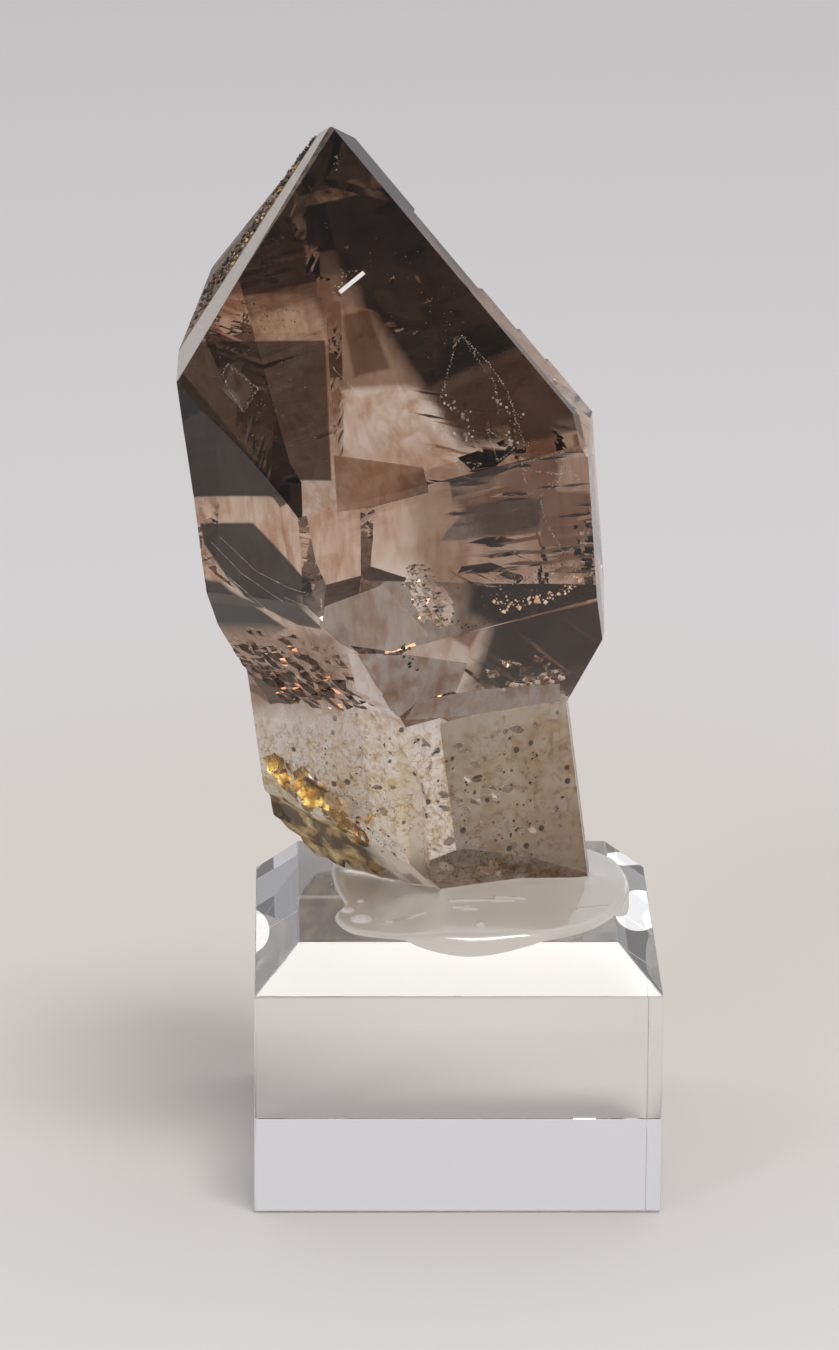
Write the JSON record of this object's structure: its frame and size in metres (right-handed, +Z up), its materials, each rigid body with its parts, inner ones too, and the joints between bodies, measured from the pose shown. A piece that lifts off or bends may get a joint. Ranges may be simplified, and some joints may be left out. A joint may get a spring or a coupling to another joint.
{
  "type": "mounted crystal specimen",
  "caption": "Smoky quartz scepter crystal set at a lean in a clear resin seat on a clear bevelled display block.",
  "frame": {"origin": "centre of the block's flat underside", "axes": "+X right and +Y away from the viewer, both along the block's sides; +Z up, out of the block's top towards the crystal's tip"},
  "size_m": [0.0453, 0.0431, 0.0977],
  "materials": {
    "smoky_quartz": "clear to smoky brown quartz with natural flat faces, included",
    "clear_acrylic": "polished clear acrylic",
    "clear_resin": "clear resin with a wet gloss"
  },
  "bodies": {
    "root": {"scepter_crystal": "smoky_quartz", "acrylic_block": "clear_acrylic", "resin_seat": "clear_resin"}
  },
  "joints": []
}
